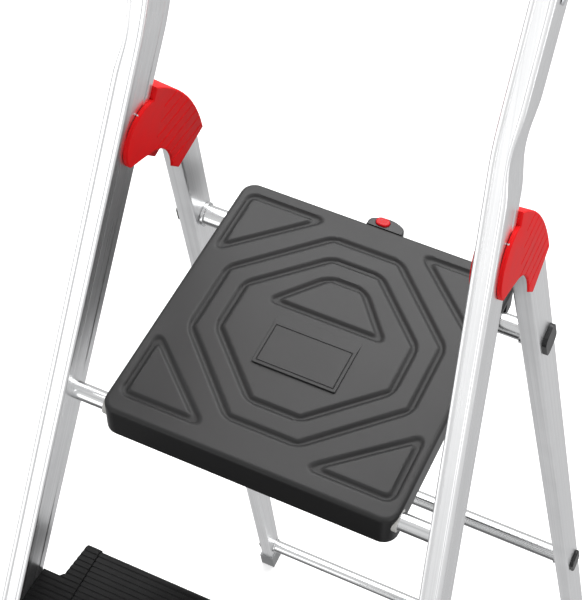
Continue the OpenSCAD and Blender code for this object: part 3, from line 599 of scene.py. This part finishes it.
def cover_outline(bm):
    """The cheek's outline in the rail's side plane, in millimetres, drawn from the lobe's foot."""
    back, eye, eye_r = COVER_BACK, Vector((40.5, 246)), 30
    arch, arch_r = Vector((60.056, 159.963)), 59
    along, across = Vector((math.cos(FOLD), math.sin(FOLD))), Vector((math.sin(FOLD), -math.cos(FOLD)))
    foot_t = 219.5
    foot = Vector((eye.x - math.sqrt(eye_r ** 2 - (foot_t - eye.y) ** 2), foot_t))
    tip, heel = PIVOT + 20.1 * along + 28 * across, PIVOT - 24 * along + 28 * across
    crown = Vector((41.5, eye.y + math.sqrt(eye_r ** 2 - 1)))
    back_r = (tip - back).length
    top = Vector((41.5, back.y + math.sqrt(back_r ** 2 - (41.5 - back.x) ** 2)))
    arch_end = Vector((113.66, 184.46))
    chain = [bm.verts.new((foot.x, foot.y, 0)), bm.verts.new((49, foot_t, 0))]
    bm.edges.new(chain)
    lip = bm.verts.new((arch.x - 1, arch.y + arch_r, 0))
    bm.edges.new((chain[1], lip))
    sweep = round_from(arch, arch_end) - round_from(arch, lip.co)
    end = swing(bm, lip, arch, sweep, 20)
    for corner in (heel, tip):
        step = bm.verts.new((*corner, 0))
        bm.edges.new((end, step))
        end = step
    end = swing(bm, end, back, round_from(back, top) - round_from(back, tip), 30)
    step = bm.verts.new((*crown, 0))
    bm.edges.new((end, step))
    sweep = round_from(eye, foot) + 2 * math.pi - round_from(eye, crown)
    end = swing(bm, step, eye, sweep, 36)
    bmesh.ops.remove_doubles(bm, verts=bm.verts, dist=0.2)
    return bmesh.ops.contextual_create(bm, geom=bm.edges[:])["faces"]


def upright_solid(bm, faces, x0, x1):
    """Gives flat faces in the side plane a thickness from x0 to x1."""
    bmesh.ops.translate(bm, verts=bm.verts, vec=(0, 0, x0))
    made = bmesh.ops.extrude_face_region(bm, geom=faces)["geom"]
    bmesh.ops.translate(bm, verts=only(BMVert, made), vec=(0, 0, x1 - x0))


def make_joint_cover(name, hand):
    """A red cheek box over the folding joint, open for the rail and the leg, with grip grooves."""
    bm = bmesh.new()
    upright_solid(bm, cover_outline(bm), CHEEK_IN, CHEEK_OUT)
    rims = [e for e in bm.edges if abs(e.verts[0].co.z - e.verts[1].co.z) < 1e-6]
    round_edges(bm, rims, 1.5, 4)
    place = hand @ rail_place @ side_plane @ Matrix.Scale(MM, 4)
    cover = new_object(name, bm, place)

    room = bmesh.new()
    first = -0.2
    start = room.verts.new((COVER_BACK.x + ROOM_RADIUS * math.cos(first),
                            COVER_BACK.y + ROOM_RADIUS * math.sin(first), 0))
    end = swing(room, start, COVER_BACK, math.acos(ROOM_EDGE / ROOM_RADIUS) - first, 48)
    inner = room.verts.new((43.5, 0, 0))
    room.edges.new((end, inner))
    room.edges.new((inner, start))
    upright_solid(room, bmesh.ops.contextual_create(room, geom=room.edges[:])["faces"], -1.7, 20.2)
    rail = bmesh.new()
    block(rail, (-20, 100, 0.02), (41.52, 330, 18.48))
    grooves = bmesh.new()
    grain, groove_pitch, groove_front = math.radians(20), 13.4, 65.5
    turn = Matrix.Rotation(grain, 3, "Z") @ Matrix.Rotation(math.pi / 4, 3, "X")
    for k in range(7):
        middle = PIVOT + Vector((18, -7)) + k * groove_pitch * Vector((-math.sin(grain), math.cos(grain)))
        front = (middle.x - groove_front) / math.cos(grain)
        for surface in (CHEEK_IN, CHEEK_OUT):
            made = block(grooves, (-front, -0.8, -0.8), (50, 0.8, 0.8))
            bmesh.ops.rotate(grooves, verts=made, cent=(0, 0, 0), matrix=turn)
            bmesh.ops.translate(grooves, verts=made, vec=(*middle, surface))
    carve(cover, [new_object("room", room, place), new_object("rail", rail, place),
                  new_object("grooves", grooves, place)])
    hang(cover, "front_frame", "cover_plastic", name.replace("_ribbed", ""), smooth=28)


# --- Rails -----------------------------------------------------------------------------------------
def make_rail(name, hand):
    """One bent section from the foot to the bow, with two beads in front and a crease at the bend."""
    width, depth = RAIL_WIDTH / MM, RAIL_DEPTH / MM
    bm = bmesh.new()
    half = [(0, depth, 2.2), (0, 31, 0.4), (0.45, 30, 0.4), (0.45, 11.5, 0.4), (0, 10.5, 0.4), (0, 0, 2.0),
            (4.2, 0, 1.1), (4.9, 0.9, 0.5)]
    corners = half + [(width - x, y, r) for x, y, r in half[::-1]]
    verts = [bm.verts.new((x - width / 2, y, 0)) for x, y, r in corners]
    bm.faces.new(verts)
    for vert, (x, y, radius) in zip(verts, corners):
        round_edges(bm, [vert], radius, 5 if radius > 1 else 2, "VERTICES")
    bend, turn_r, top = 330, 400, 480
    fine, overrun = 50, 40
    dent_t, dent_half, dent_depth = 343, 40, 3.2
    axis_x = RAIL_INSIDE / MM + width / 2 / math.cos(RAIL_TAPER) - bend * math.tan(RAIL_TAPER)
    start = -PLATFORM_Z / MM / math.cos(RAIL_LEAN) - overrun
    bmesh.ops.translate(bm, verts=bm.verts, vec=(0, 0, start - bend))
    face = bm.faces[:]

    def run(face, length, steps):
        for _ in range(steps):
            made = bmesh.ops.extrude_face_region(bm, geom=face)["geom"]
            bmesh.ops.delete(bm, geom=face, context="FACES_ONLY")
            face = only(BMFace, made)
            bmesh.ops.translate(bm, verts=only(BMVert, made), vec=(0, 0, length / steps))
        return face

    face = run(face, bend - start - fine, 1)
    face = run(face, fine, 12)
    bmesh.ops.rotate(bm, verts=bm.verts, cent=(0, 0, 0), matrix=Matrix.Rotation(-RAIL_TAPER, 3, "Y"))
    bmesh.ops.translate(bm, verts=bm.verts, vec=(axis_x, 0, bend))
    upright_x = axis_x - turn_r * (1 - math.cos(RAIL_TAPER))
    upright_t = bend + turn_r * math.sin(RAIL_TAPER)
    made = bmesh.ops.spin(bm, geom=face, cent=(upright_x + turn_r, 0, upright_t), axis=(0, 1, 0),
                          angle=RAIL_TAPER, steps=8, use_merge=False)
    bmesh.ops.delete(bm, geom=face, context="FACES_ONLY")
    face = run(only(BMFace, made["geom_last"]), 30, 6)
    face = run(face, top - upright_t - 30, 1)
    for vert in bm.verts:
        across = (vert.co.x - (axis_x + max(0, bend - vert.co.z) * math.tan(RAIL_TAPER))) / (width / 2)
        away = abs(vert.co.z - dent_t) / dent_half
        if away < 1 and across > 0:
            vert.co.x -= dent_depth * min(across, 1) * math.cos(away * math.pi / 2) ** 2
    bmesh.ops.inset_region(bm, faces=face, thickness=1.6, use_even_offset=True)
    bmesh.ops.translate(bm, verts=face[0].verts, vec=(0, 0, -8))
    bmesh.ops.remove_doubles(bm, verts=bm.verts, dist=0.001)
    place = (hand @ deck_place @ Matrix.Translation((0, -RAIL_AHEAD, 0))
             @ Matrix.Rotation(-RAIL_LEAN, 4, "X") @ Matrix.Scale(MM, 4))
    bmesh.ops.transform(bm, matrix=place, verts=bm.verts)
    bmesh.ops.bisect_plane(bm, geom=whole(bm), plane_co=(0, 0, 5 * MM), plane_no=(0, 0, -1), clear_outer=True)
    bmesh.ops.holes_fill(bm, edges=[e for e in bm.edges if e.is_boundary], sides=0)
    hang(new_object(name, bm), "front_frame", "rail_aluminium", name.replace("_bent", ""), smooth=24)


# --- Latch -----------------------------------------------------------------------------------------
def make_latch_housing():
    """A lug with a bowed rear, a pocket for the button and a block under the platform."""
    left, right, front, shoulder = -14, 22, 287, 294
    bottom, top, button_y = -25, -1, 293.5
    in_mm = deck_place @ Matrix.Scale(MM, 4)
    bm = bmesh.new()
    chain = [bm.verts.new((x, y, 0)) for x, y in ((left, front), (right, front), (right, shoulder))]
    for pair in zip(chain, chain[1:]):
        bm.edges.new(pair)
    centre = Vector((4, 272.33))
    end = swing(bm, chain[-1], centre, math.pi - 2 * round_from(centre, (right, shoulder)), 10)
    bm.edges.new((end, chain[0]))
    bmesh.ops.contextual_create(bm, geom=bm.edges[:])
    for corner in [v for v in bm.verts if abs(v.co.y - shoulder) < 0.01]:
        round_edges(bm, [corner], 3, 5, "VERTICES")
    upright_solid(bm, bm.faces[:], bottom, top)
    rims = [e for e in bm.edges
            if min(v.co.z for v in e.verts) > top - 0.01 and max(v.co.y for v in e.verts) > front + 0.1]
    round_edges(bm, rims, 1.8, 5)
    lug = new_object("latch_lug", bm, in_mm)
    cuts = bmesh.new()
    for radius, z0, z1, stretch in ((5.4, -6.6, 1, 4), (4.6, -21, -4, 0), (2.9, -26, -4, 0)):
        tool = bmesh.ops.create_cone(cuts, cap_ends=True, segments=48, radius1=radius, radius2=radius,
                                     depth=z1 - z0)["verts"]
        for vert in tool:
            vert.co.x += math.copysign(stretch / 2, vert.co.x) if abs(vert.co.x) > 1e-6 else 0
        bmesh.ops.translate(cuts, verts=tool, vec=(0, button_y, (z0 + z1) / 2))
    carve(lug, [new_object("pocket", cuts, in_mm)])
    bm = bmesh.new()
    bm.from_mesh(lug.data)
    made = block(bm, (-0.016, 0.266, -0.025), (0.016, 0.2872, -0.0035))
    bmesh.ops.transform(bm, matrix=deck_place, verts=made)
    bm.to_mesh(lug.data)
    bm.free()
    hang(lug, "platform", "latch_plastic", "latch_housing")


make_platform()
make_blank_plate()
make_latch_housing()
for side, hand in (("right", Matrix.Identity(4)), ("left", left_hand)):
    make_joint_cover("joint_cover_" + side + "_ribbed", hand)
    make_rail("rail_" + side + "_bent", hand)
    for bar in ("upper", "middle", "lower"):
        softened(bar + "_cap_" + side, "cap_plastic", 2 * MM, 4)
    softened("front_foot_" + side, "foot_rubber", 1.5 * MM, 3)
    softened("rear_foot_" + side, "rear_foot_plastic", 1.5 * MM, 3)
softened("latch_button", "button_plastic", 1.3 * MM, 4)
softened("tread_rivets", "zinc_steel", 0.7 * MM, 3)
softened("bow_rivets", "zinc_steel", 0.7 * MM, 3)


# --- Studio --------------------------------------------------------------------------------------
def make_camera():
    yaw, pitch, roll = math.radians(24.89), math.radians(-51.85), math.radians(0.58)
    forward = Vector((-math.sin(yaw) * math.cos(pitch), math.cos(yaw) * math.cos(pitch), math.sin(pitch)))
    level = Vector((math.cos(yaw), math.sin(yaw), 0))
    over = level.cross(forward)
    right = math.cos(roll) * level + math.sin(roll) * over
    up = -math.sin(roll) * level + math.cos(roll) * over
    lens = bpy.data.cameras.new("view")
    camera = bpy.data.objects.new("view", lens)
    bpy.context.scene.collection.objects.link(camera)
    stand = Matrix.Translation((0.3475, PLATFORM_FRONT - 0.65239, PLATFORM_Z + 1.15985))
    camera.matrix_world = stand @ Matrix((right, up, -forward)).transposed().to_4x4()
    lens.sensor_width = 36
    lens.lens = 99.0174
    lens.clip_end = 60
    bpy.context.scene.camera = camera


def soft_box(name, place, aim, size, power):
    lamp = bpy.data.lights.new(name, "AREA")
    lamp.shape = "RECTANGLE"
    lamp.size, lamp.size_y = size
    lamp.energy = power
    holder = bpy.data.objects.new(name, lamp)
    bpy.context.scene.collection.objects.link(holder)
    holder.location = place
    holder.rotation_euler = (Vector(aim) - Vector(place)).to_track_quat("-Z", "Y").to_euler()


def make_floor():
    mesh = bpy.data.meshes.new("floor")
    bm = bmesh.new()
    bmesh.ops.create_grid(bm, x_segments=1, y_segments=1, size=14)
    bm.to_mesh(mesh)
    bm.free()
    floor = bpy.data.objects.new("floor", mesh)
    bpy.context.scene.collection.objects.link(floor)
    material, tree, skin, position = start_material("pale floor")
    skin.inputs["Base Color"].default_value = (0.9, 0.9, 0.9, 1)
    skin.inputs["Roughness"].default_value = 0.9
    skin.inputs["Emission Color"].default_value = (1, 1, 1, 1)
    skin.inputs["Emission Strength"].default_value = 0.5
    mesh.materials.append(material)
    floor.visible_glossy = False
    floor.visible_diffuse = False


def make_sky():
    """Pale studio walls: bright ahead and above, darker below and behind, and a dark card below."""
    world = bpy.data.worlds.new("studio walls")
    bpy.context.scene.world = world
    world.use_nodes = True
    tree = world.node_tree
    tree.nodes.clear()
    out = add_node(tree, "ShaderNodeOutputWorld", 800)
    glow = add_node(tree, "ShaderNodeBackground", 600)
    rays = add_node(tree, "ShaderNodeLightPath", -200, -500)
    shown = maths(tree, "ADD", maths(tree, "MULTIPLY", rays.outputs["Is Glossy Ray"], 0.6, 0, -500),
                  maths(tree, "MULTIPLY", rays.outputs["Is Camera Ray"], 0.65, 0, -650), 150, -500)
    place = add_node(tree, "ShaderNodeTexCoord", -600)
    level = maths(tree, "ADD", shown, 0.35, 300, -500)
    card = add_node(tree, "ShaderNodeVectorMath", -400, -800, operation="DOT_PRODUCT")
    tree.links.new(place.outputs["Generated"], card.inputs[0])
    card.inputs[1].default_value = Vector((-0.2, -0.6, -0.775)).normalized()
    dark = value_range(tree, card.outputs["Value"], 1.0, 0.25, 0, -800, 0.90, 0.97)
    tree.links.new(maths(tree, "MULTIPLY", level, dark, 450, -500), glow.inputs["Strength"])
    split = add_node(tree, "ShaderNodeSeparateXYZ", -400)
    tree.links.new(place.outputs["Generated"], split.inputs[0])
    height = value_range(tree, split.outputs["Z"], 0.0, 1.0, -200, 0, -0.95, 0.3)
    front = value_range(tree, split.outputs["Y"], 0.68, 0.0, -200, -250, -0.9, 0.5)
    both = maths(tree, "MAXIMUM", height, front, 0)
    shade = add_node(tree, "ShaderNodeValToRGB", 200)
    ramp = shade.color_ramp
    ramp.elements[0].position, ramp.elements[0].color = 0.0, (0.56, 0.56, 0.565, 1)
    ramp.elements[1].position, ramp.elements[1].color = 1.0, (1.0, 1.0, 1.0, 1)
    middle = ramp.elements.new(0.5)
    middle.color = (0.72, 0.72, 0.725, 1)
    tree.links.new(both, shade.inputs[0])
    tree.links.new(shade.outputs[0], glow.inputs[0])
    tree.links.new(glow.outputs[0], out.inputs[0])


make_camera()
make_floor()
make_sky()
soft_box("top box", (-1.0, 1.4, 4.6), (0, 0, 1.2), (3.0, 2.4), 90)
soft_box("front box", (-1.7, -3.3, 1.0), (0, 0, 1.2), (2.0, 2.4), 22)
soft_box("side box", (3.2, -1.0, 2.2), (0, 0, 1.4), (1.6, 1.6), 45)
soft_box("floor wash", (0.5, 2.5, 3.4), (0.3, 1.2, 0), (3.5, 2.0), 90)
bpy.context.scene.view_settings.view_transform = "Standard"
